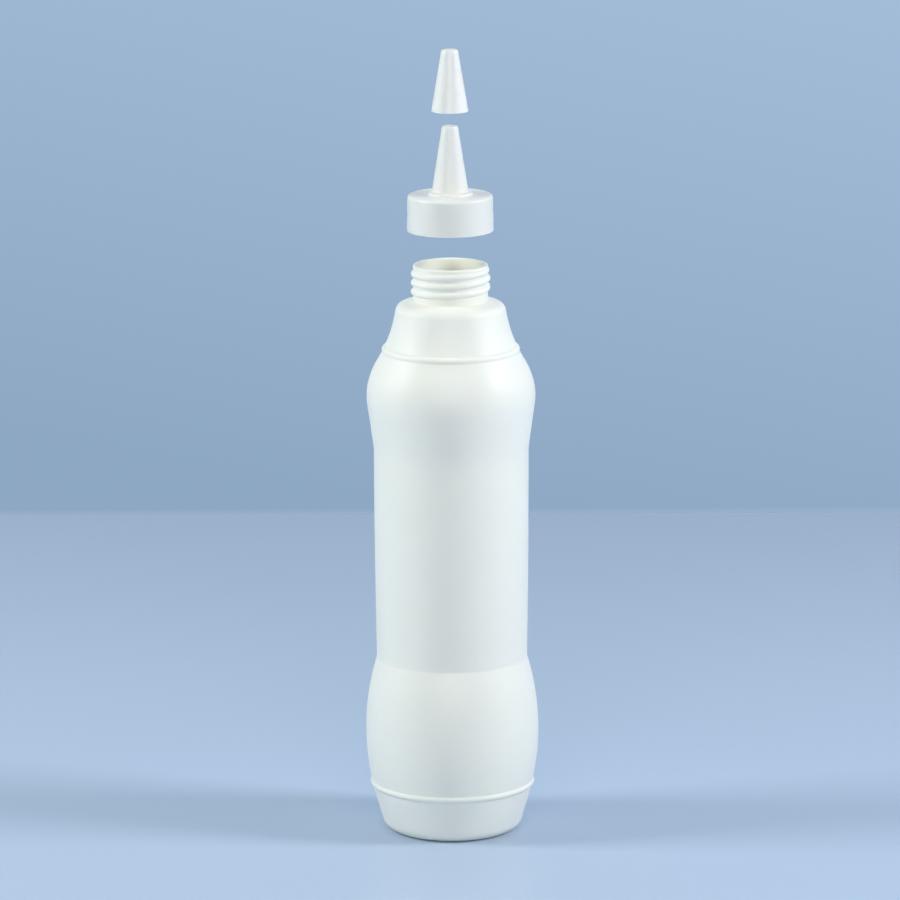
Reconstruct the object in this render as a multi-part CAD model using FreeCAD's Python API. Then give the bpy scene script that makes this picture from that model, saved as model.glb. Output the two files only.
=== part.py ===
# A squeezable sauce bottle with its screw-on nozzle cap and its tip cover, in millimetres.
# The bottle stands on z = 0 with its axis on Z. The cap and the cover are off, held above the
# mouth on the same axis: lowered by the two gaps and their seats, they close the bottle.
#
# Every piece turns about Z. Its section is a run of rounds, each (r, z, radius): a positive
# radius stands out of the plastic, a negative one is hollow, and straights join the rounds.
import FreeCAD, Part
import math
import os

# bottle body, from the floor up
body_dia = 82.0              # widest, at the lower bulge
bulge_height = 48.5          # of the lower bulge's widest line
bulge_round = 121.0          # curve of the lower bulge, seen from the side
heel_lean = 16.4             # degrees, the heel's side from upright
heel_round = 6.2             # bottom edge
foot_width = 2.4             # flat ring that the bottle stands on
foot_round = 2.6             # inner edge of that ring
base_rise = 3.2              # hollow under the base, at its centre
base_flat_dia = 9.0          # flat middle of that hollow
crease_round = 2.5           # where the lower bulge meets the waist
waist_dia = 73.0             # at the waist's top
waist_rise = 134.5           # from the lower bulge's widest line to the waist's top
waist_bow = 5800.0           # the waist's slight curve, seen from the side
waist_top_round = 30.0
upper_dia = 79.5             # widest, at the upper bulge
upper_rise = 27.3            # from the waist's top to the upper bulge's widest line
upper_round = 31.0
shoulder_rise = 44.7         # from there to the shoulder's edge
shoulder_ledge = 8.4         # how far the shoulder stands out from the neck
shoulder_round = 4.4
shoulder_drop = 0.75         # fall of the ledge from the neck to its rounded edge
collar_lean = 8.9            # degrees, the side just under the shoulder's edge
wall = 1.1                   # body wall

# the two raised rings round the body
ring_rise = 0.8
ring_round = 1.8
ring_foot_round = 0.8
lower_ring_height = 22.7
upper_ring_drop = 22.0       # below the shoulder's edge

# neck
neck_dia = 35.2              # between the threads
neck_height = 17.3
neck_wall = 2.3
neck_foot_round = 0.8
bore_foot_round = 1.2
lip_round = 0.6
thread_rise = 1.05
thread_width = 2.9
thread_pitch = 4.233
thread_top = 2.0             # from the lip to the middle of the thread's upper end
thread_bottom = 3.45         # from the neck's foot to the middle of its lower end
thread_end_angle = 25.0      # degrees round Z, where that upper end lies
thread_fade = 55.0           # degrees over which each end sinks into its wall

# nozzle cap
skirt_gap = 2.0              # neck's foot to the skirt's open edge, when screwed home
cap_wall = 1.15              # at the top of the skirt
cap_draft = 1.1              # degrees, the skirt widens downwards
cap_round = 1.5
cap_edge_round = 0.35
plate_thickness = 1.8
thread_clearance = 0.25      # neck thread to skirt, and cap thread to neck
cap_thread_width = 1.8
cap_thread_lead = 1.9        # from the skirt's open edge to the middle of the thread's lower end
cap_thread_top = 3.65        # from the plate to the middle of its upper end
plug_clearance = 0.15        # sealing plug to the neck's bore
plug_depth = 2.6
plug_wall = 1.0
plug_round = 0.3
boss_rim = 1.6               # how far the boss stands out from the foot of the nozzle's cone
boss_height = 1.2
boss_round = 0.5
boss_foot_round = 0.4
nozzle_foot_dia = 17.6       # of the cone, where it would meet the plate
nozzle_height = 32.5         # above the plate
nozzle_lean = 8.9            # degrees
nozzle_foot_round = 1.6
nozzle_tip_round = 0.8
nozzle_wall = 1.2
nozzle_land = 1.4            # thickness round the orifice
nozzle_bore_round = 0.6
orifice_dia = 1.8
orifice_round = 0.25

# tip cover
cover_seat = 7.3             # from the plate to the cover's lower edge, when it is pushed on
cover_clearance = 0.1        # cover to nozzle, when it is pushed on
cover_tip_gap = 2.7          # above the nozzle's tip, when it is pushed on
cover_draft = 0.55           # degrees that its outside leans more than the nozzle
cover_wall = 0.94            # at the open end
cover_top = 1.2
cover_round = 1.2
cover_edge_round = 0.3

# how far apart the pieces are held
cap_gap = 16.15              # lip to the cap's lower edge
cover_gap = 6.9              # nozzle tip to the cover's lower edge

# heights and radii that follow
full_turn = 360.0            # degrees
neck_radius = neck_dia / 2
bore_radius = neck_radius - neck_wall
waist_top = bulge_height + waist_rise
upper_height = waist_top + upper_rise
shoulder_height = upper_height + shoulder_rise
neck_foot = shoulder_height + shoulder_drop
mouth_height = neck_foot + neck_height
thread_turns = (neck_height - thread_top - thread_bottom) / thread_pitch
plate_underside = neck_height - skirt_gap
cap_height = plate_underside + plate_thickness
cap_thread_turns = (plate_underside - cap_thread_top - cap_thread_lead) / thread_pitch
boss_radius = nozzle_foot_dia / 2 + boss_rim
cap_bottom = mouth_height + cap_gap
nozzle_top = cap_bottom + cap_height + nozzle_height
cover_ceiling = nozzle_height - cover_seat + cover_tip_gap
cover_height = cover_ceiling + cover_top
cover_bottom = nozzle_top + cover_gap
thread_radius = neck_radius + thread_rise
skirt_radius = thread_radius + thread_clearance
# the middle of the neck's thread, where its helix passes angle 0
neck_thread_height = mouth_height - thread_top - thread_pitch * thread_end_angle / full_turn

steps_per_turn = 24          # points on a thread's path
thread_embed = 0.3           # how deep a thread's root lies in its wall
near = 1e-4                  # points or angles closer than this are one


def heading(angle):
    """Unit (r, z) at an angle in degrees, 0 outwards and 90 up."""
    return math.cos(math.radians(angle)), math.sin(math.radians(angle))


def away(point, angle, distance):
    """The point moved a distance along a heading."""
    along = heading(angle)
    return point[0] + distance * along[0], point[1] + distance * along[1]


def straight_normal(start, end):
    """Degrees of the outward normal on the straight that joins two rounds."""
    across, up = end[0] - start[0], end[1] - start[1]
    step = start[2] - end[2]
    length = math.sqrt(max(across ** 2 + up ** 2 - step ** 2, 0.0))
    return math.degrees(math.atan2(up, across) - math.atan2(length, step))


def turned(rounds):
    """The solid turned about Z from a closed section, which has its plastic on the left as
    the rounds are followed. A round of radius 0 is a sharp corner."""
    followers = rounds[1:] + rounds[:1]
    leaving = [straight_normal(a, b) for a, b in zip(rounds, followers)]
    arriving = leaving[-1:] + leaving[:-1]
    edges, here, start = [], None, None
    for (r, z, radius), first, last in zip(rounds, arriving, leaving):
        sweep = (last - first) % full_turn if radius > 0 else -((first - last) % full_turn)
        if full_turn - abs(sweep) < near:
            sweep = 0.0
        stops = [FreeCAD.Vector(x, 0, y) for x, y in
                 (away((r, z), first + sweep * share, radius) for share in (0, 0.5, 1))]
        if start is None:
            start = here = stops[0]
        if here.distanceToPoint(stops[0]) > near:
            edges.append(Part.LineSegment(here, stops[0]).toShape())
            here = stops[0]
        if here.distanceToPoint(stops[2]) > near:
            edges.append(Part.Arc(here, stops[1], stops[2]).toShape())
            here = stops[2]
    edges.append(Part.LineSegment(here, start).toShape())
    face = Part.Face(Part.Wire(edges))
    return face.revolve(FreeCAD.Vector(), FreeCAD.Vector(0, 0, 1), full_turn)


def flipped(rounds, thickness):
    """The far side of a wall: the same rounds followed back, on the other face of the plastic."""
    return [(r, z, thickness - radius) for r, z, radius in reversed(rounds)]


def hollow_between(lower, upper, radius):
    """The hollow round that touches two rounds above the place where they cross."""
    first, second = lower[2] + radius, upper[2] + radius
    across, up = upper[0] - lower[0], upper[1] - lower[1]
    gap = math.hypot(across, up)
    along = (gap ** 2 + first ** 2 - second ** 2) / (2 * gap)
    aside = math.sqrt(first ** 2 - along ** 2)
    return (lower[0] + (along * across + aside * up) / gap,
            lower[1] + (along * up - aside * across) / gap, -radius)


def raised_ring(on_round, height):
    """A half-round ring at this height on a round of the body, with a hollow round at each foot."""
    middle, radius = on_round[:2], on_round[2]
    normal = math.degrees(math.asin((height - middle[1]) / radius))
    to_crest = radius + ring_rise - ring_round
    to_foot = radius + ring_foot_round
    reach = ring_round + ring_foot_round
    half = math.degrees(math.acos((to_crest ** 2 + to_foot ** 2 - reach ** 2) / (2 * to_crest * to_foot)))
    half = math.copysign(half, radius)
    return [(*away(middle, normal - half, to_foot), -ring_foot_round),
            (*away(middle, normal, to_crest), ring_round),
            (*away(middle, normal + half, to_foot), -ring_foot_round), on_round]


def body_rounds(with_rings):
    """The body's outside, from the middle of the base up to the shoulder's edge."""
    bulge = (body_dia / 2 - bulge_round, bulge_height, bulge_round)
    lean = heading(-heel_lean)
    heel_side = bulge[0] * lean[0] + bulge[1] * lean[1] + bulge_round
    foot = (heel_side - heel_round - heel_round * lean[1]) / lean[0]
    foot_inside = foot - foot_width
    flat_edge = base_flat_dia / 2
    dome = ((foot_inside - flat_edge) ** 2 + base_rise ** 2) / (2 * base_rise)
    base = [(0.0, base_rise, 0.0), (flat_edge, base_rise - dome, -dome),
            (foot_inside, foot_round, foot_round), (foot, heel_round, heel_round)]

    waist = (waist_dia / 2 - waist_bow, waist_top, waist_bow)
    waist_end = (waist_dia / 2 + waist_top_round, waist_top, -waist_top_round)
    upper = (upper_dia / 2 - upper_round, upper_height, upper_round)
    edge = (neck_radius + shoulder_ledge - shoulder_round, shoulder_height - shoulder_round,
            shoulder_round)

    # a hollow sweep leaves the shoulder's edge at collar_lean and runs into the upper bulge
    lean = heading(collar_lean)
    start = away(edge, collar_lean, shoulder_round)
    across, up = start[0] - upper[0], start[1] - upper[1]
    lag = upper_round - across * lean[0] - up * lean[1]
    sweep = (across ** 2 + up ** 2 - upper_round ** 2) / (2 * lag)
    collar = (*away(start, collar_lean, sweep), -sweep)

    lower_ring, upper_ring = [], []
    if with_rings:
        lower_ring = raised_ring(bulge, lower_ring_height)
        upper_ring = raised_ring(collar, shoulder_height - upper_ring_drop)
    crease = hollow_between(bulge, waist, crease_round)
    return (base + [bulge] + lower_ring + [crease, waist, waist_end, upper, collar]
            + upper_ring + [edge])


def thread(wall_radius, rise, width, height, first_angle, turns):
    """A round helical ridge on a wall. A negative rise points at the axis, height is that of the
    ridge's middle at angle 0, and each end sinks into the wall."""
    steps = round(turns * steps_per_turn)
    path = []
    for step in range(steps + 1):
        turned_by = full_turn * turns * step / steps
        from_end = min(turned_by, full_turn * turns - turned_by) / thread_fade
        sunk = rise * 0.5 * (1 + math.cos(math.pi * min(from_end, 1.0)))
        angle = math.radians(first_angle + turned_by)
        radius = wall_radius - sunk
        path.append(FreeCAD.Vector(radius * math.cos(angle), radius * math.sin(angle),
                                   height + thread_pitch * (first_angle + turned_by) / full_turn))
    curve = Part.BSplineCurve()
    curve.interpolate(path)

    # the ridge's section is the part of a circle that stands out of the wall, and a little below
    round_radius = ((width / 2) ** 2 + rise ** 2) / (2 * abs(rise))
    half_root = math.sqrt(round_radius ** 2 - (round_radius - abs(rise) - thread_embed) ** 2)
    root = -math.copysign(thread_embed, rise)
    outwards = FreeCAD.Vector(path[0].x, path[0].y, 0).normalize()
    low, crest, high = [path[0] + outwards * out + FreeCAD.Vector(0, 0, up)
                        for out, up in ((root, -half_root), (rise, 0), (root, half_root))]
    arc, chord = Part.Arc(low, crest, high), Part.LineSegment(high, low)
    profile = Part.Wire([arc.toShape(), chord.toShape()])
    shell = Part.BRepOffsetAPI.MakePipeShell(Part.Wire([curve.toShape()]))
    shell.setBiNormalMode(FreeCAD.Vector(0, 0, 1))
    shell.add(profile)
    shell.build()
    shell.makeSolid()
    return shell.shape()


def make_bottle():
    neck_base = (neck_radius + neck_foot_round, neck_foot + neck_foot_round, -neck_foot_round)
    lip = [(neck_radius - lip_round, mouth_height - lip_round, lip_round),
           (bore_radius + lip_round, mouth_height - lip_round, lip_round)]
    bore_base = (bore_radius + bore_foot_round, neck_foot - wall + bore_foot_round, bore_foot_round)
    inside = flipped(body_rounds(with_rings=False)[1:], wall) + [(0.0, base_rise + wall, 0.0)]
    plain = turned(body_rounds(with_rings=True) + [neck_base] + lip + [bore_base] + inside)
    ridge = thread(neck_radius, thread_rise, thread_width, neck_thread_height,
                   thread_end_angle - full_turn * thread_turns, thread_turns)
    return plain.fuse(ridge, near)


def make_nozzle_cap():
    """Built with its open edge on z = 0, then lifted."""
    top_radius = skirt_radius + cap_wall
    edge_radius = top_radius + (cap_height - cap_round) * math.tan(math.radians(cap_draft))
    tip = cap_height + nozzle_height
    plug_outside = bore_radius - plug_clearance
    plug_inside = plug_outside - plug_wall
    plug_end = plate_underside - plug_depth
    lean = heading(nozzle_lean)
    cone = nozzle_foot_dia / 2 * lean[0] + cap_height * lean[1]

    def on_cone(height, radius, depth=0.0):
        """A round at this height that touches the cone, or a cone that deep inside it."""
        return (cone - depth - radius - height * lean[1]) / lean[0], height, radius

    foot = on_cone(cap_height + boss_height + nozzle_foot_round, -nozzle_foot_round)
    inner_top = on_cone(tip - nozzle_land - nozzle_bore_round, nozzle_bore_round, nozzle_wall)
    inner_foot = on_cone(plate_underside + nozzle_bore_round, -nozzle_bore_round, nozzle_wall)
    section = [
        (edge_radius - cap_edge_round, cap_edge_round, cap_edge_round),
        (top_radius - cap_round, cap_height - cap_round, cap_round),
        (boss_radius + boss_foot_round, cap_height + boss_foot_round, -boss_foot_round),
        (boss_radius - boss_round, cap_height + boss_height - boss_round, boss_round),
        foot,
        on_cone(tip - nozzle_tip_round, nozzle_tip_round),
        (orifice_dia / 2 + orifice_round, tip - orifice_round, orifice_round),
        (orifice_dia / 2 + orifice_round, tip - nozzle_land + orifice_round, orifice_round),
        (inner_top[0], inner_top[1], -nozzle_bore_round),
        (inner_foot[0], inner_foot[1], nozzle_bore_round),
        (plug_inside - plug_round, plate_underside - plug_round, -plug_round),
        (plug_inside + plug_round, plug_end + plug_round, plug_round),
        (plug_outside - plug_round, plug_end + plug_round, plug_round),
        (plug_outside + plug_round, plate_underside - plug_round, -plug_round),
        (skirt_radius - plug_round, plate_underside - plug_round, -plug_round),
        (skirt_radius + cap_edge_round, cap_edge_round, cap_edge_round)]
    plain = turned(section)

    # screwed home, the cap's thread runs midway between the turns of the neck's
    height = neck_thread_height - mouth_height + plate_underside + thread_pitch / 2
    rise = neck_radius + thread_clearance - skirt_radius
    ridge = thread(skirt_radius, rise, cap_thread_width, height,
                   full_turn * (cap_thread_lead - height) / thread_pitch, cap_thread_turns)
    inside_skirt = Part.makeCylinder(skirt_radius + thread_embed, cap_height)
    cap = plain.fuse(ridge.common(inside_skirt), near)
    cap.translate(FreeCAD.Vector(0, 0, cap_bottom))
    return cap


def make_tip_cover():
    """Built with its open end on z = 0, then lifted."""
    inner_lean, outer_lean = heading(nozzle_lean), heading(nozzle_lean + cover_draft)
    inner = nozzle_foot_dia / 2 * inner_lean[0] - cover_seat * inner_lean[1] + cover_clearance
    open_radius = inner / inner_lean[0] + cover_wall
    outer = open_radius * outer_lean[0]

    def outside(height, radius):
        """A round at this height that touches the outer cone."""
        return (outer - radius - height * outer_lean[1]) / outer_lean[0], height, radius

    def inside(height, radius):
        """A round at this height that touches the inner cone, which fits the nozzle."""
        return (inner + radius - height * inner_lean[1]) / inner_lean[0], height, radius

    cover = turned([(0.0, cover_ceiling, 0.0),
                    inside(cover_ceiling - cover_edge_round, -cover_edge_round),
                    inside(cover_edge_round, cover_edge_round),
                    outside(cover_edge_round, cover_edge_round),
                    outside(cover_height - cover_round, cover_round),
                    (0.0, cover_height, 0.0)])
    cover.translate(FreeCAD.Vector(0, 0, cover_bottom))
    return cover


os.makedirs("parts", exist_ok=True)
pieces = {"bottle": make_bottle(), "nozzle_cap": make_nozzle_cap(), "tip_cover": make_tip_cover()}
for name, shape in pieces.items():
    solid = shape.Solids[0]
    solid.exportStep("parts/" + name + ".step")
    box = solid.BoundBox
    print(f"{name}: {len(shape.Solids)} solid, valid {shape.isValid()}, "
          f"{solid.Volume / 1000:.2f} cm3, z {box.ZMin:.2f} to {box.ZMax:.2f}")
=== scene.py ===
# A squeezable sauce bottle with its nozzle cap and its tip cover held above it, on a pale blue floor.
# Sizes in the dictionaries are in millimetres and degrees. Blender's own unit is the metre.
import math

import bpy
from mathutils import Matrix, Vector, noise


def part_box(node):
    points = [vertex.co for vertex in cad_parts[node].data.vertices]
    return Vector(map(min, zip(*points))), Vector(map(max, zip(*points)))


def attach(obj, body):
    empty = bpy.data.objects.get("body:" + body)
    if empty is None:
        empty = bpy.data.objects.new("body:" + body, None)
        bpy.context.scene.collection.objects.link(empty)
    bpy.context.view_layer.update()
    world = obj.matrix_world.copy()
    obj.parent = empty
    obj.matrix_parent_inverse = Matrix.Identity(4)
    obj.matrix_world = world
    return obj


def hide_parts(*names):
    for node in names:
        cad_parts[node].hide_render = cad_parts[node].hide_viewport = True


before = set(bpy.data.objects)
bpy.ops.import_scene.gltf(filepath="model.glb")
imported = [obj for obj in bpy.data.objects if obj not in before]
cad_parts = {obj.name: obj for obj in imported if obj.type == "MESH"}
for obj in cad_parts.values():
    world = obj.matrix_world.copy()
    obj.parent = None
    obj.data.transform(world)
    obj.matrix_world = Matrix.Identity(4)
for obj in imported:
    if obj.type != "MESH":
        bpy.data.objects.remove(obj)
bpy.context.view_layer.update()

mm = 0.001
fullTurn = 360.0


# Every piece is turned about Z. Its section is a run of rounds (r, z, radius) with the plastic on the
# left: a positive radius stands out, a negative one is hollow, and straights join the rounds.

def heading(angle):
    # one step in this direction, across and up
    return math.cos(math.radians(angle)), math.sin(math.radians(angle))


def shifted(point, angle, distance):
    # the point moved this far in this direction
    along = heading(angle)
    return point[0] + distance * along[0], point[1] + distance * along[1]


def sideNormal(start, end):
    # degrees of the outward normal on the straight that joins two rounds
    across, up = end[0] - start[0], end[1] - start[1]
    step = start[2] - end[2]
    length = math.sqrt(max(across ** 2 + up ** 2 - step ** 2, 0.0))
    return math.degrees(math.atan2(up, across) - math.atan2(length, step))


def onLeaningSide(side, lean, height, radius):
    # a round at this height that touches a side leaning inwards, side being the line's distance from 0, 0
    across, up = heading(lean)
    return (side - radius - height * up) / across, height, radius


def flippedRounds(rounds, thickness):
    # the other face of a wall this thick, followed back
    return [(r, z, thickness - radius) for r, z, radius in reversed(rounds)]


def hollowBetween(lower, upper, radius):
    # the hollow round that touches two rounds, above the place where they cross
    first, second = lower[2] + radius, upper[2] + radius
    across, up = upper[0] - lower[0], upper[1] - lower[1]
    gap = math.hypot(across, up)
    along = (gap ** 2 + first ** 2 - second ** 2) / (2 * gap)
    aside = math.sqrt(first ** 2 - along ** 2)
    return (lower[0] + (along * across + aside * up) / gap,
            lower[1] + (along * up - aside * across) / gap, -radius)


mesh = {
    "columns": 192,          # faces round the axis
    "besideSeam": (0.35, 0.75, 1.3),     # degrees, extra columns on each side of a mould seam
    "arcStep": 9.0,          # degrees, the longest piece of a rounded edge
    "shortStep": 0.05,       # mm, the shortest piece of a rounded edge
    "longStep": 2.6,         # mm, the longest piece elsewhere
    "threadStep": 0.17,      # mm, across a screw thread
    "joined": 1e-4,          # mm, points closer than this are one
    "noTurn": 1e-4,          # degrees, a sweep this close to a full turn is rounding and counts as none
    "onWall": 1e-3,          # mm, a point this close to a wall lies on it
}


def sectionPoints(rounds, fineAt):
    # the section as points, cut finely where fineAt(r, z) says that a thread lies
    followers = rounds[1:] + rounds[:1]
    leaving = [sideNormal(a, b) for a, b in zip(rounds, followers)]
    arriving = leaving[-1:] + leaving[:-1]
    corners = []
    for (r, z, radius), first, last in zip(rounds, arriving, leaving):
        sweep = (last - first) % fullTurn if radius > 0 else -((first - last) % fullTurn)
        if radius == 0 or fullTurn - abs(sweep) < mesh["noTurn"]:
            sweep = 0.0
        arcLength = abs(radius * math.radians(sweep))
        pieces = math.ceil(max(abs(sweep) / mesh["arcStep"], arcLength / mesh["longStep"], 1))
        pieces = min(pieces, math.ceil(arcLength / mesh["shortStep"]) + 1)
        corners += [shifted((r, z), first + sweep * k / pieces, radius) for k in range(pieces + 1)]
    points = corners[:1]
    for r, z in corners[1:] + corners[:1]:
        length = math.hypot(r - points[-1][0], z - points[-1][1])
        if length < mesh["joined"]:
            continue
        middle = ((r + points[-1][0]) / 2, (z + points[-1][1]) / 2)
        step = mesh["threadStep"] if fineAt(*middle) else mesh["longStep"]
        pieces = math.ceil(length / step)
        fromR, fromZ = points[-1]
        points += [(fromR + (r - fromR) * k / pieces, fromZ + (z - fromZ) * k / pieces)
                   for k in range(1, pieces + 1)]
    if rounds[0][0] > 0:
        return points[:-1]       # a ring: its last point is its first
    end = max(k for k, (r, z) in enumerate(points[:-1]) if k == 0 or r > 0) + 1
    return points[:end + 1]      # from the axis to the axis, without the stretch along it


def turnedMesh(name, points, relief, lift=0.0, seams=()):
    # the section turned about Z. relief(row, r, z, angle) gives how far a point moves outwards and up
    angles = {fullTurn * k / mesh["columns"] for k in range(mesh["columns"])}
    for seam in seams:
        for offset in mesh["besideSeam"]:
            angles |= {(seam - offset) % fullTurn, (seam + offset) % fullTurn}
    angles = sorted(angles)
    vertices, rows = [], []
    for row, (r, z) in enumerate(points):
        onAxis = r < mesh["joined"]
        start = len(vertices)
        for angle in angles[:1] if onAxis else angles:
            outwards, upwards = relief(row, r, z, angle)
            across, up = heading(angle)
            reach = 0.0 if onAxis else r + outwards
            vertices.append((across * reach * mm, up * reach * mm, (z + upwards + lift) * mm))
        rows.append([start] * len(angles) if onAxis else list(range(start, start + len(angles))))
    closed = points[0][0] > mesh["joined"]
    faces = []
    for low, high in zip(rows, rows[1:] + (rows[:1] if closed else [])):
        for k in range(len(angles)):
            after = (k + 1) % len(angles)
            corner = [low[k], low[after], high[after], high[k]]
            face = [v for n, v in enumerate(corner) if v != corner[n - 1]]     # three at the axis
            if len(face) > 2:
                faces.append(face)
    data = bpy.data.meshes.new(name)
    data.from_pydata(vertices, [], faces)
    data.validate()
    data.shade_smooth()
    piece = bpy.data.objects.new(name, data)
    bpy.context.scene.collection.objects.link(piece)
    print(f"{name}: {len(points)} rings, {len(data.polygons)} faces")
    return piece


def threadHeight(z, angle, thread):
    # how far a helical ridge stands out of its wall: a part of a circle, blended into the wall
    width, rise, pitch = thread["width"], thread["rise"], thread["pitch"]
    roundRadius = (width ** 2 / 4 + rise ** 2) / (2 * rise)
    best = 0.0
    lap = math.ceil((thread["first"] - angle) / fullTurn)
    while angle + lap * fullTurn <= thread["last"]:
        turned = angle + lap * fullTurn
        lap += 1
        across = z - thread["height"] - pitch * turned / fullTurn
        if abs(across) > roundRadius:
            continue
        fromEnd = min(turned - thread["first"], thread["last"] - turned) / thread["fade"]
        sunk = rise * (1 + math.cos(math.pi * min(fromEnd, 1.0))) / 2      # the ends sink into the wall
        bare = math.sqrt(roundRadius ** 2 - across ** 2) - roundRadius + rise - sunk
        blended = (bare + math.hypot(bare, thread["blend"])) / 2
        best = max(best, blended)
    return best


def linear(code):
    # sRGB hex to the linear colour that nodes take
    parts = [int(code[k:k + 2], 16) / 255 for k in (1, 3, 5)]
    return [p / 12.92 if p <= 0.04045 else ((p + 0.055) / 1.055) ** 2.4 for p in parts] + [1.0]


def addNode(tree, kind, inputs=None, **settings):
    # a node with its settings, each input being a value or the socket that it is linked from
    made = tree.nodes.new(kind)
    for key, value in settings.items():
        setattr(made, key, value)
    for key, value in (inputs or {}).items():
        if isinstance(value, bpy.types.NodeSocket):
            tree.links.new(value, made.inputs[key])
        else:
            made.inputs[key].default_value = value
    return made


def emptyMaterial(name):
    material = bpy.data.materials.new(name)
    material.use_nodes = True
    material.node_tree.nodes.clear()
    return material, material.node_tree


def scaleFor(size):
    # noise scale for features of this size in mm
    return 1.0 / (size * mm)


# Blow-moulded HDPE: milky and a little translucent, satin rather than glossy, with the soft
# orange peel of a mould that was blasted. Inside the neck the wall carries painted light, paler
# and warmer, standing for light that has come through it.
hdpe = {
    "colour": "#F0F0E7",
    "cloud": "#EDEDE3",          # the faint clouding of an uneven wall
    "paintedThroughLight": "#F9F9EA",        # painted light inside the neck, for light that arrives through the wall
    "paintedLightEdge": (0.2, 1.2),   # the painted light fades out between these distances outside the bore
    "paintedLightTop": (2.0, 30.0),   # and between these depths below the neck's foot
    "cloudSize": 30.0,
    "peelSize": 1.6,
    "peelDepth": 0.02,
    "gritSize": 0.45,            # drawn coarser than the blasted mould's own grit, about 0.05
    "gritDepth": 0.006,
    "roughness": 0.50,
    "roughnessSpread": 0.04,
    "ior": 1.54,
    "milkiness": 0.7,            # the share of light that goes into the plastic
    "depth": 1.2,                # how far it travels there
    "depthShares": (1.0, 0.95, 0.85),    # of red, green and blue
}


def blowMouldedHdpe(boreRadius, neckFoot):
    material, tree = emptyMaterial("blow_moulded_hdpe")
    place = addNode(tree, "ShaderNodeTexCoord").outputs["Object"]
    cloud = addNode(tree, "ShaderNodeTexNoise", {"Vector": place, "Scale": scaleFor(hdpe["cloudSize"]),
                                                 "Detail": 2.0})
    clouded = addNode(tree, "ShaderNodeMix", {0: cloud.outputs["Fac"], 6: linear(hdpe["colour"]),
                                              7: linear(hdpe["cloud"])}, data_type="RGBA")
    # the neck's inside, which gets the painted light, is told from its outside by the distance from the
    # axis
    axes = addNode(tree, "ShaderNodeSeparateXYZ", {"Vector": place})
    flat = addNode(tree, "ShaderNodeCombineXYZ", {"X": axes.outputs["X"], "Y": axes.outputs["Y"]})
    reach = addNode(tree, "ShaderNodeVectorMath", {0: flat.outputs[0]}, operation="LENGTH")
    inBore = addNode(tree, "ShaderNodeMapRange", {
        "Value": reach.outputs["Value"], "From Min": (boreRadius + hdpe["paintedLightEdge"][1]) * mm,
        "From Max": (boreRadius + hdpe["paintedLightEdge"][0]) * mm})
    aboveShoulder = addNode(tree, "ShaderNodeMapRange", {
        "Value": axes.outputs["Z"], "From Min": (neckFoot - hdpe["paintedLightTop"][1]) * mm,
        "From Max": (neckFoot - hdpe["paintedLightTop"][0]) * mm})
    paintedLightInNeck = addNode(tree, "ShaderNodeMath", {0: inBore.outputs[0], 1: aboveShoulder.outputs[0]},
                     operation="MULTIPLY")
    # painted light: inside the neck the wall's colour is mixed paler and warmer
    colour = addNode(tree, "ShaderNodeMix", {0: paintedLightInNeck.outputs[0], 6: clouded.outputs[2],
                                             7: linear(hdpe["paintedThroughLight"])}, data_type="RGBA")
    peel = addNode(tree, "ShaderNodeTexNoise", {"Vector": place, "Scale": scaleFor(hdpe["peelSize"]),
                                                "Detail": 2.0})
    grit = addNode(tree, "ShaderNodeTexNoise", {"Vector": place, "Scale": scaleFor(hdpe["gritSize"]),
                                                "Detail": 3.0})
    rough = addNode(tree, "ShaderNodeMapRange", {
        "Value": grit.outputs["Fac"], "To Min": hdpe["roughness"] - hdpe["roughnessSpread"],
        "To Max": hdpe["roughness"] + hdpe["roughnessSpread"]})
    wavy = addNode(tree, "ShaderNodeBump", {"Height": peel.outputs["Fac"],
                                            "Distance": hdpe["peelDepth"] * mm})
    gritty = addNode(tree, "ShaderNodeBump", {"Height": grit.outputs["Fac"],
                                              "Distance": hdpe["gritDepth"] * mm,
                                              "Normal": wavy.outputs[0]})
    plastic = addNode(tree, "ShaderNodeBsdfPrincipled", {
        "Base Color": colour.outputs[2], "Roughness": rough.outputs[0], "IOR": hdpe["ior"],
        "Normal": gritty.outputs[0], "Subsurface Weight": hdpe["milkiness"],
        "Subsurface Scale": hdpe["depth"] * mm, "Subsurface Radius": hdpe["depthShares"]})
    addNode(tree, "ShaderNodeOutputMaterial", {"Surface": plastic.outputs[0]})
    return material


# Injection-moulded PP and LDPE: denser white than the bottle, slightly cooler, with a finer and
# more even satin. Faint flow bands run round a piece, square to the way that the plastic came in.
# The two differ in tone and gloss, which stand with the piece that each is used for.
closurePlastic = {
    "bandSize": 2.4,
    "bandDepth": 0.012,
    "gritSize": 0.4,             # drawn coarser than the spark-eroded mould's own grit, about 0.03
    "gritDepth": 0.004,
    "roughnessSpread": 0.03,
    "ior": 1.50,
    "milkiness": 0.5,            # the share of light that goes into the plastic
    "depthShares": (1.0, 1.0, 0.95),     # how far red, green and blue travel there
}


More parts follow.
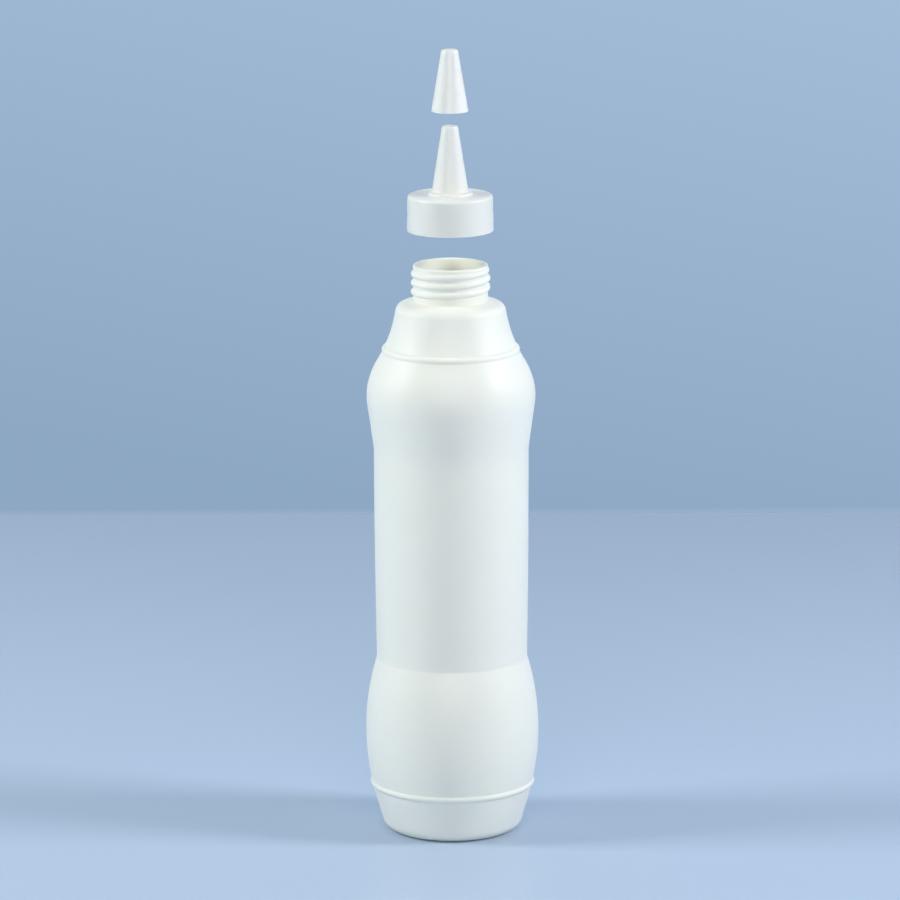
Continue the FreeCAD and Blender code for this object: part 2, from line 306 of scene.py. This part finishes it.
def injectionMoulded(name, finish):
    material, tree = emptyMaterial(name)
    place = addNode(tree, "ShaderNodeTexCoord").outputs["Object"]
    axes = addNode(tree, "ShaderNodeSeparateXYZ", {"Vector": place})
    height = addNode(tree, "ShaderNodeCombineXYZ", {"Z": axes.outputs["Z"]})
    bands = addNode(tree, "ShaderNodeTexNoise", {"Vector": height.outputs[0], "Detail": 1.0,
                                                 "Scale": scaleFor(closurePlastic["bandSize"])})
    grit = addNode(tree, "ShaderNodeTexNoise", {"Vector": place, "Detail": 3.0,
                                                "Scale": scaleFor(closurePlastic["gritSize"])})
    tint = addNode(tree, "ShaderNodeMix", {0: bands.outputs["Fac"], 6: linear(finish["colour"]),
                                           7: linear(finish["shade"])}, data_type="RGBA")
    rough = addNode(tree, "ShaderNodeMapRange", {
        "Value": grit.outputs["Fac"], "To Min": finish["roughness"] - closurePlastic["roughnessSpread"],
        "To Max": finish["roughness"] + closurePlastic["roughnessSpread"]})
    banded = addNode(tree, "ShaderNodeBump", {"Height": bands.outputs["Fac"],
                                              "Distance": closurePlastic["bandDepth"] * mm})
    gritty = addNode(tree, "ShaderNodeBump", {"Height": grit.outputs["Fac"],
                                              "Distance": closurePlastic["gritDepth"] * mm,
                                              "Normal": banded.outputs[0]})
    plastic = addNode(tree, "ShaderNodeBsdfPrincipled", {
        "Base Color": tint.outputs[2], "Roughness": rough.outputs[0], "IOR": closurePlastic["ior"],
        "Normal": gritty.outputs[0], "Subsurface Weight": closurePlastic["milkiness"],
        "Subsurface Scale": finish["depth"] * mm, "Subsurface Radius": closurePlastic["depthShares"]})
    addNode(tree, "ShaderNodeOutputMaterial", {"Surface": plastic.outputs[0]})
    return material


# The bottle is blown in two mould halves, which leave a seam on both sides and a weld underneath.
bottle = {
    "bodyDia": 82.0, "bulgeHeight": 48.5, "bulgeRound": 121.0,       # lower bulge
    "heelLean": 16.4, "heelRound": 6.2, "footWidth": 2.4, "footRound": 2.6,
    "baseRise": 3.2, "baseFlatDia": 9.0,
    "creaseRound": 2.5,
    "waistDia": 73.0, "waistRise": 134.5, "waistBow": 5800.0, "waistTopRound": 30.0,
    "upperDia": 79.5, "upperRise": 27.3, "upperRound": 31.0,         # upper bulge
    "shoulderRise": 44.7, "shoulderLedge": 8.4, "shoulderRound": 4.4, "shoulderDrop": 0.75,
    "collarLean": 8.9,
    "wall": 1.1,
    "ringRise": 0.8, "ringRound": 1.8, "ringFootRound": 0.8,
    "lowerRing": 22.7, "upperRingDrop": 22.0,
    "neckDia": 35.2, "neckWall": 2.3, "neckFootRound": 0.8, "boreFootRound": 1.2, "lipRound": 0.6,
    "seams": (0.0, 180.0), "seamRise": 0.07, "seamWidth": 0.35,
    "pinchRise": 0.35, "pinchWidth": 0.8, "pinchLength": 40.0,       # the weld under the base
    "unevenness": 0.05, "unevenSize": 28.0, "unevenBias": -0.4,      # of the blown wall, mostly inwards
    "thread": {
        "width": 2.9, "rise": 1.05, "pitch": 4.233, "blend": 0.22, "fade": 55.0,
        "top": 2.0, "bottom": 3.45, "last": 25.0,                    # degrees round Z at its upper end
    },
}
neckThread = bottle["thread"]
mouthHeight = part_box("bottle")[1].z / mm
upperHeight = bottle["bulgeHeight"] + bottle["waistRise"] + bottle["upperRise"]
shoulderHeight = upperHeight + bottle["shoulderRise"]
neckFoot = shoulderHeight + bottle["shoulderDrop"]
neckRadius = bottle["neckDia"] / 2
boreRadius = neckRadius - bottle["neckWall"]
threadTurns = (mouthHeight - neckFoot - neckThread["top"] - neckThread["bottom"]) / neckThread["pitch"]
neckThread["first"] = neckThread["last"] - fullTurn * threadTurns
neckThread["height"] = (mouthHeight - neckThread["top"]
                        - neckThread["pitch"] * neckThread["last"] / fullTurn)


def raisedRing(onRound, height):
    # a half-round ring at this height on a round of the body, with a hollow round at each foot
    middle, radius = onRound[:2], onRound[2]
    normal = math.degrees(math.asin((height - middle[1]) / radius))
    toCrest = radius + bottle["ringRise"] - bottle["ringRound"]
    toFoot = radius + bottle["ringFootRound"]
    reach = bottle["ringRound"] + bottle["ringFootRound"]
    half = math.degrees(math.acos((toCrest ** 2 + toFoot ** 2 - reach ** 2) / (2 * toCrest * toFoot)))
    half = math.copysign(half, radius)
    return [(*shifted(middle, normal - half, toFoot), -bottle["ringFootRound"]),
            (*shifted(middle, normal, toCrest), bottle["ringRound"]),
            (*shifted(middle, normal + half, toFoot), -bottle["ringFootRound"]), onRound]


def bodyRounds(withRings):
    # the body's outside, from the middle of the base up to the shoulder's edge
    bulge = (bottle["bodyDia"] / 2 - bottle["bulgeRound"], bottle["bulgeHeight"], bottle["bulgeRound"])
    across, up = heading(-bottle["heelLean"])
    heelSide = bulge[0] * across + bulge[1] * up + bottle["bulgeRound"]
    foot = (heelSide - bottle["heelRound"] - bottle["heelRound"] * up) / across
    footInside = foot - bottle["footWidth"]
    flatEdge = bottle["baseFlatDia"] / 2
    dome = ((footInside - flatEdge) ** 2 + bottle["baseRise"] ** 2) / (2 * bottle["baseRise"])
    base = [(0.0, bottle["baseRise"], 0.0), (flatEdge, bottle["baseRise"] - dome, -dome),
            (footInside, bottle["footRound"], bottle["footRound"]),
            (foot, bottle["heelRound"], bottle["heelRound"])]

    waistTop = bottle["bulgeHeight"] + bottle["waistRise"]
    waist = (bottle["waistDia"] / 2 - bottle["waistBow"], waistTop, bottle["waistBow"])
    waistEnd = (bottle["waistDia"] / 2 + bottle["waistTopRound"], waistTop, -bottle["waistTopRound"])
    upper = (bottle["upperDia"] / 2 - bottle["upperRound"], upperHeight, bottle["upperRound"])
    edge = (neckRadius + bottle["shoulderLedge"] - bottle["shoulderRound"],
            shoulderHeight - bottle["shoulderRound"], bottle["shoulderRound"])

    # a hollow sweep leaves the shoulder's edge and runs into the upper bulge
    lean = heading(bottle["collarLean"])
    start = shifted(edge, bottle["collarLean"], bottle["shoulderRound"])
    across, up = start[0] - upper[0], start[1] - upper[1]
    lag = bottle["upperRound"] - across * lean[0] - up * lean[1]
    sweep = (across ** 2 + up ** 2 - bottle["upperRound"] ** 2) / (2 * lag)
    collar = (*shifted(start, bottle["collarLean"], sweep), -sweep)

    lowerRing = raisedRing(bulge, bottle["lowerRing"]) if withRings else []
    upperRing = raisedRing(collar, shoulderHeight - bottle["upperRingDrop"]) if withRings else []
    crease = hollowBetween(bulge, waist, bottle["creaseRound"])
    return base + [bulge] + lowerRing + [crease, waist, waistEnd, upper, collar] + upperRing + [edge]


def bottleSection():
    neckBase = (neckRadius + bottle["neckFootRound"], neckFoot + bottle["neckFootRound"],
                -bottle["neckFootRound"])
    lip = [(neckRadius - bottle["lipRound"], mouthHeight - bottle["lipRound"], bottle["lipRound"]),
           (boreRadius + bottle["lipRound"], mouthHeight - bottle["lipRound"], bottle["lipRound"])]
    boreBase = (boreRadius + bottle["boreFootRound"], neckFoot - bottle["wall"] + bottle["boreFootRound"],
                bottle["boreFootRound"])
    inside = flippedRounds(bodyRounds(False)[1:], bottle["wall"])
    inside += [(0.0, bottle["baseRise"] + bottle["wall"], 0.0)]
    return bodyRounds(True) + [neckBase] + lip + [boreBase] + inside


def seamHeight(r, angle):
    # the mould seams stand out as a thin soft line
    turns = [abs((angle - seam + fullTurn / 2) % fullTurn - fullTurn / 2) for seam in bottle["seams"]]
    aside = r * math.radians(min(turns))
    return bottle["seamRise"] * math.exp(-(aside / bottle["seamWidth"]) ** 2)


def makeBottle():
    points = sectionPoints(bottleSection(),
                           lambda r, z: r > neckRadius - mesh["onWall"] and z > neckFoot)
    mouthRow = max(range(len(points)), key=lambda k: points[k][1])
    pinchReach = bottle["pinchLength"] / 2

    def relief(row, r, z, angle):
        if row > mouthRow:
            return 0.0, 0.0      # inside
        across, up = heading(angle)
        if z < bottle["baseRise"] + mesh["onWall"] and r < pinchReach:
            fade = min(1.0, (pinchReach - r) / bottle["pinchWidth"])
            pinch = bottle["pinchRise"] * math.exp(-(up * r / bottle["pinchWidth"]) ** 2) * fade
            return 0.0, -pinch
        if z > neckFoot + bottle["neckFootRound"]:
            return (threadHeight(z, angle, neckThread) if r > neckRadius - mesh["onWall"] else 0.0), 0.0
        spot = Vector((across * r, up * r, z)) / bottle["unevenSize"]
        uneven = bottle["unevenness"] * (noise.noise(spot) + bottle["unevenBias"])
        if z < bottle["heelRound"]:
            return uneven * z / bottle["heelRound"], 0.0
        return uneven + seamHeight(r, angle), 0.0

    piece = turnedMesh("bottle_shell", points, relief, seams=bottle["seams"])
    piece.data.materials.append(blowMouldedHdpe(boreRadius, neckFoot))
    return piece


bottlePiece = makeBottle()
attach(bottlePiece, "root")
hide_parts("bottle")


# The nozzle cap screws on to the neck. Its heights start at the skirt's lower edge.
cap = {
    "skirtGap": 2.0, "wall": 1.15, "draft": 1.1, "round": 1.5, "edgeRound": 0.35,
    "plate": 1.8, "threadClearance": 0.25,
    "plugClearance": 0.15, "plugDepth": 2.6, "plugWall": 1.0, "plugRound": 0.3,
    "bossRim": 1.6, "bossHeight": 1.2, "bossRound": 0.5, "bossFootRound": 0.4,
    "nozzleFootDia": 17.6, "nozzleHeight": 32.5, "nozzleLean": 8.9, "nozzleFootRound": 1.6,
    "nozzleTipRound": 0.8, "nozzleWall": 1.2, "nozzleLand": 1.4, "nozzleBoreRound": 0.6,
    "orificeDia": 1.8, "orificeRound": 0.25,
    "thread": {"width": 1.8, "rise": neckThread["rise"], "pitch": neckThread["pitch"], "blend": 0.1,
               "fade": 55.0, "lead": 1.9, "top": 3.65},
    "sink": 0.12,                                        # how far the skirt has shrunk in over it
    "colour": "#E8E8E2", "shade": "#E5E5E0", "roughness": 0.34, "depth": 1.2,       # its PP
}
capThread = cap["thread"]
skirtRadius = neckRadius + neckThread["rise"] + cap["threadClearance"]
plateUnderside = mouthHeight - neckFoot - cap["skirtGap"]
capHeight = plateUnderside + cap["plate"]
# screwed on, its ridge lies midway between two turns of the neck's
capThread["height"] = neckThread["height"] - mouthHeight + plateUnderside + capThread["pitch"] / 2
capThread["first"] = fullTurn * (capThread["lead"] - capThread["height"]) / capThread["pitch"]
capThread["last"] = (fullTurn * (plateUnderside - capThread["top"] - capThread["height"])
                     / capThread["pitch"])


def capSection():
    topRadius = skirtRadius + cap["wall"]
    edgeRadius = topRadius + (capHeight - cap["round"]) * math.tan(math.radians(cap["draft"]))
    tip = capHeight + cap["nozzleHeight"]
    bossRadius = cap["nozzleFootDia"] / 2 + cap["bossRim"]
    plugOutside = boreRadius - cap["plugClearance"]
    plugInside = plugOutside - cap["plugWall"]
    plugEnd = plateUnderside - cap["plugDepth"]
    across, up = heading(cap["nozzleLean"])
    cone = cap["nozzleFootDia"] / 2 * across + capHeight * up

    def onCone(height, radius, depth=0.0):
        return onLeaningSide(cone - depth, cap["nozzleLean"], height, radius)

    innerTop = onCone(tip - cap["nozzleLand"] - cap["nozzleBoreRound"], cap["nozzleBoreRound"],
                      cap["nozzleWall"])
    innerFoot = onCone(plateUnderside + cap["nozzleBoreRound"], -cap["nozzleBoreRound"],
                       cap["nozzleWall"])
    orifice = cap["orificeDia"] / 2 + cap["orificeRound"]
    soft, fine = cap["plugRound"], cap["edgeRound"]
    return [
        (edgeRadius - fine, fine, fine),
        (topRadius - cap["round"], capHeight - cap["round"], cap["round"]),
        (bossRadius + cap["bossFootRound"], capHeight + cap["bossFootRound"], -cap["bossFootRound"]),
        (bossRadius - cap["bossRound"], capHeight + cap["bossHeight"] - cap["bossRound"], cap["bossRound"]),
        onCone(capHeight + cap["bossHeight"] + cap["nozzleFootRound"], -cap["nozzleFootRound"]),
        onCone(tip - cap["nozzleTipRound"], cap["nozzleTipRound"]),
        (orifice, tip - cap["orificeRound"], cap["orificeRound"]),
        (orifice, tip - cap["nozzleLand"] + cap["orificeRound"], cap["orificeRound"]),
        (*innerTop[:2], -cap["nozzleBoreRound"]),
        (*innerFoot[:2], cap["nozzleBoreRound"]),
        (plugInside - soft, plateUnderside - soft, -soft),
        (plugInside + soft, plugEnd + soft, soft),
        (plugOutside - soft, plugEnd + soft, soft),
        (plugOutside + soft, plateUnderside - soft, -soft),
        (skirtRadius - soft, plateUnderside - soft, -soft),
        (skirtRadius + fine, fine, fine)]


def makeNozzleCap():
    points = sectionPoints(capSection(), lambda r, z: abs(r - skirtRadius) < mesh["onWall"])
    tipRow = max(range(len(points)), key=lambda k: points[k][1])

    def relief(row, r, z, angle):
        if row > tipRow:
            inSkirt = abs(r - skirtRadius) < mesh["onWall"]
            return (-threadHeight(z, angle, capThread) if inSkirt else 0.0), 0.0
        if r > skirtRadius and cap["round"] < z < capHeight - cap["round"]:
            return -cap["sink"] * threadHeight(z, angle, capThread) / capThread["rise"], 0.0
        return 0.0, 0.0

    piece = turnedMesh("nozzle_cap_shell", points, relief, lift=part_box("nozzle_cap")[0].z / mm)
    piece.data.materials.append(injectionMoulded("injection_moulded_pp", cap))
    return piece


capPiece = makeNozzleCap()
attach(capPiece, "root")
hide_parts("nozzle_cap")


# The tip cover pushes on to the nozzle and follows its lean. Its heights start at its open end.
cover = {
    "seat": 7.3, "clearance": 0.1, "tipGap": 2.7, "draft": 0.55, "wall": 0.94, "top": 1.2,
    "round": 1.2, "edgeRound": 0.3,
    "gateDia": 1.6, "gateDepth": 0.18, "gateSteepness": 4,       # the dimple where the plastic came in
    "colour": "#ECEBE5", "shade": "#E9E8E3", "roughness": 0.31, "depth": 1.2,       # its LDPE
}


def makeTipCover():
    lean, outerLean = cap["nozzleLean"], cap["nozzleLean"] + cover["draft"]
    across, up = heading(lean)
    ceiling = cap["nozzleHeight"] - cover["seat"] + cover["tipGap"]
    height = ceiling + cover["top"]
    inner = cap["nozzleFootDia"] / 2 * across - cover["seat"] * up + cover["clearance"]
    outer = (inner / across + cover["wall"]) * heading(outerLean)[0]
    hollow = onLeaningSide(inner, lean, ceiling - cover["edgeRound"], cover["edgeRound"])
    mouth = onLeaningSide(inner, lean, cover["edgeRound"], -cover["edgeRound"])
    section = [
        (0.0, ceiling, 0.0),
        (*hollow[:2], -cover["edgeRound"]),
        (*mouth[:2], cover["edgeRound"]),
        onLeaningSide(outer, outerLean, cover["edgeRound"], cover["edgeRound"]),
        onLeaningSide(outer, outerLean, height - cover["round"], cover["round"]),
        (0.0, height, 0.0)]
    points = sectionPoints(section, lambda r, z: z > height - mesh["onWall"])

    def relief(row, r, z, angle):
        if z < height - mesh["onWall"]:
            return 0.0, 0.0
        fromGate = (2 * r / cover["gateDia"]) ** cover["gateSteepness"]
        return 0.0, -cover["gateDepth"] * math.exp(-fromGate)

    piece = turnedMesh("tip_cover_shell", points, relief, lift=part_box("tip_cover")[0].z / mm)
    piece.data.materials.append(injectionMoulded("injection_moulded_ldpe", cover))
    return piece


coverPiece = makeTipCover()
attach(coverPiece, "root")
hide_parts("tip_cover")


# The floor is a painted board. The backdrop stands on it all round, so that every view ends in it.
studio = {
    "floor": "#B0C1D6", "floorCloud": "#ADBFD4", "floorRoughness": 0.42,
    "backdropFoot": "#9BB1CB", "backdropLow": "#8EA8C4", "backdropHigh": "#A8C1DC",
    "floorReach": 4000.0, "backdropDistance": 662.0, "backdropHeight": 1500.0, "backdropSides": 8,
    "backdropFade": 450.0, "backdropSlant": 0.2,     # painted light: it grows paler upwards and to the right
    "backdropFootFade": 3.5,     # and meets the floor with a soft edge
    "cloudSize": 180.0,
}


def paintedBoard():
    # matt painted board: even and pale, with hardly any sheen
    material, tree = emptyMaterial("painted_board")
    place = addNode(tree, "ShaderNodeTexCoord").outputs["Object"]
    cloud = addNode(tree, "ShaderNodeTexNoise", {"Vector": place,
                                                 "Scale": scaleFor(studio["cloudSize"])})
    paint = addNode(tree, "ShaderNodeMix", {0: cloud.outputs["Fac"], 6: linear(studio["floor"]),
                                            7: linear(studio["floorCloud"])}, data_type="RGBA")
    board = addNode(tree, "ShaderNodeBsdfPrincipled", {"Base Color": paint.outputs[2],
                                                       "Roughness": studio["floorRoughness"]})
    addNode(tree, "ShaderNodeOutputMaterial", {"Surface": board.outputs[0]})
    return material


def backdropPaper():
    # paper that glows in its own colour, with painted light making it paler upwards and to the
    # right, while its outer side lets the view through
    material, tree = emptyMaterial("backdrop_paper")
    place = addNode(tree, "ShaderNodeTexCoord").outputs["Object"]
    # painted light: the paper's colour is mixed paler upwards and to the right
    height = addNode(tree, "ShaderNodeVectorMath", {0: place, 1: (studio["backdropSlant"], 0.0, 1.0)},
                     operation="DOT_PRODUCT")
    rise = addNode(tree, "ShaderNodeMapRange", {"Value": height.outputs["Value"],
                                                "From Max": studio["backdropFade"] * mm})
    paperWithPaintedLight = addNode(tree, "ShaderNodeMix", {0: rise.outputs[0], 6: linear(studio["backdropLow"]),
                                            7: linear(studio["backdropHigh"])}, data_type="RGBA")
    axes = addNode(tree, "ShaderNodeSeparateXYZ", {"Vector": place})
    aboveFoot = addNode(tree, "ShaderNodeMapRange", {"Value": axes.outputs["Z"],
                                                     "From Max": studio["backdropFootFade"] * mm})
    softFoot = addNode(tree, "ShaderNodeMix", {
        0: aboveFoot.outputs[0], 6: linear(studio["backdropFoot"]), 7: paperWithPaintedLight.outputs[2]},
        data_type="RGBA")
    glow = addNode(tree, "ShaderNodeEmission", {"Color": softFoot.outputs[2]})
    clear = addNode(tree, "ShaderNodeBsdfTransparent")
    side = addNode(tree, "ShaderNodeNewGeometry").outputs["Backfacing"]
    both = addNode(tree, "ShaderNodeMixShader", {0: side, 1: glow.outputs[0], 2: clear.outputs[0]})
    addNode(tree, "ShaderNodeOutputMaterial", {"Surface": both.outputs[0]})
    return material


def stagePiece(name, corners, faces, material):
    data = bpy.data.meshes.new(name)
    data.from_pydata(corners, [], faces)
    data.materials.append(material)
    item = bpy.data.objects.new(name, data)
    bpy.context.scene.collection.objects.link(item)
    return item


def makeFloor():
    far = studio["floorReach"] * mm
    corners = [(-far, -far, 0.0), (far, -far, 0.0), (far, far, 0.0), (-far, far, 0.0)]
    stagePiece("floor", corners, [(0, 1, 2, 3)], paintedBoard())
    print("floor: painted board")


def makeBackdrop():
    sides = studio["backdropSides"]
    reach = studio["backdropDistance"] * mm / math.cos(math.pi / sides)
    ways = [heading(fullTurn * (k + 0.5) / sides) for k in range(sides)]
    corners = [(across * reach, up * reach, height)
               for height in (0.0, studio["backdropHeight"] * mm) for across, up in ways]
    walls = [((k + 1) % sides, k, sides + k, sides + (k + 1) % sides) for k in range(sides)]
    backdrop = stagePiece("backdrop", corners, walls, backdropPaper())
    # it is only looked at: it lights nothing, and shadows and mirror images pass it by
    backdrop.visible_diffuse = False
    backdrop.visible_glossy = False
    backdrop.visible_shadow = False
    print(f"backdrop: {sides} walls")


makeFloor()
makeBackdrop()


# Two side lamps draw the soft shadows, a low front one reaches into the neck, and one hangs above.
# Places, aims and sizes are in millimetres and powers in watts.
lamps = {
    "left": {"place": (-1150, -120, 890), "aim": (0, 0, 150), "size": (380, 480), "power": 11.0,
             "tint": "#FAFFFD"},
    "right": {"place": (1150, -230, 890), "aim": (0, 0, 150), "size": (340, 480), "power": 12.6,
              "tint": "#F7FAFF"},
    "front": {"place": (0, -1500, 680), "aim": (0, 0, 220), "size": (1000, 650), "power": 7.4,
              "tint": "#FFFDF8"},
    "top": {"place": (0, 450, 1700), "aim": (0, 0, 100), "size": (600, 600), "power": 1.6,
            "tint": "#FFFDF8"},
}
# The room itself is dimly white in front and brighter and bluish behind.
roomLight = {
    "front": "#FFFFFF", "frontStrength": 0.24,
    "back": "#BFD6F2", "backStrength": 0.62,
    "fade": (-0.3, 0.6),         # from front to back, as how far backwards one looks, from -1 to 1
}


def makeLamps():
    for name, lamp in lamps.items():
        light = bpy.data.lights.new(name, "AREA")
        light.shape = "RECTANGLE"
        light.size, light.size_y = (side * mm for side in lamp["size"])
        light.energy = lamp["power"]
        light.color = linear(lamp["tint"])[:3]
        item = bpy.data.objects.new(name, light)
        item.location = Vector(lamp["place"]) * mm
        aim = Vector(lamp["aim"]) * mm - item.location
        item.rotation_euler = aim.to_track_quat("-Z", "Y").to_euler()
        bpy.context.scene.collection.objects.link(item)
    print(f"lamps: {', '.join(lamps)}")


def makeRoom():
    world = bpy.data.worlds.new("room")
    world.use_nodes = True
    tree = world.node_tree
    tree.nodes.clear()
    # straight or in a mirror it looks like more backdrop, and only its soft light differs
    path = addNode(tree, "ShaderNodeLightPath")
    seenOrMirrored = addNode(tree, "ShaderNodeMath", {0: path.outputs["Is Camera Ray"],
                                                      1: path.outputs["Is Glossy Ray"]}, operation="ADD")
    seen = addNode(tree, "ShaderNodeMath", {0: seenOrMirrored.outputs[0],
                                            1: path.outputs["Is Transmission Ray"]}, operation="ADD",
                   use_clamp=True)
    direction = addNode(tree, "ShaderNodeTexCoord").outputs["Generated"]
    axes = addNode(tree, "ShaderNodeSeparateXYZ", {"Vector": direction})
    backwards = addNode(tree, "ShaderNodeMapRange", {"Value": axes.outputs["Y"],
                                                     "From Min": roomLight["fade"][0],
                                                     "From Max": roomLight["fade"][1]})
    front = addNode(tree, "ShaderNodeBackground", {"Color": linear(roomLight["front"]),
                                                   "Strength": roomLight["frontStrength"]})
    back = addNode(tree, "ShaderNodeBackground", {"Color": linear(roomLight["back"]),
                                                  "Strength": roomLight["backStrength"]})
    soft = addNode(tree, "ShaderNodeMixShader", {0: backwards.outputs[0], 1: front.outputs[0],
                                                 2: back.outputs[0]})
    behind = addNode(tree, "ShaderNodeBackground", {"Color": linear(studio["backdropHigh"])})
    both = addNode(tree, "ShaderNodeMixShader", {0: seen.outputs[0], 1: soft.outputs[0],
                                                 2: behind.outputs[0]})
    addNode(tree, "ShaderNodeOutputWorld", {"Surface": both.outputs[0]})
    bpy.context.scene.world = world
    print("room: soft light set")


view = {"place": (-0.57, -2860.0, 812.6), "downwards": 12.4, "roll": -0.234, "lens": 248.0,
        "farEnd": 20000.0}


def makeCamera():
    data = bpy.data.cameras.new("view")
    data.lens = view["lens"]
    data.clip_end = view["farEnd"] * mm
    item = bpy.data.objects.new("view", data)
    item.matrix_world = (Matrix.Translation(Vector(view["place"]) * mm)
                         @ Matrix.Rotation(math.radians(90 - view["downwards"]), 4, "X")
                         @ Matrix.Rotation(math.radians(view["roll"]), 4, "Z"))
    bpy.context.scene.collection.objects.link(item)
    bpy.context.scene.camera = item
    print(f"camera: {view['lens']:.0f} mm lens, {view['downwards']} degrees downwards")


makeLamps()
makeRoom()
makeCamera()
bpy.context.scene.view_settings.view_transform = "Standard"
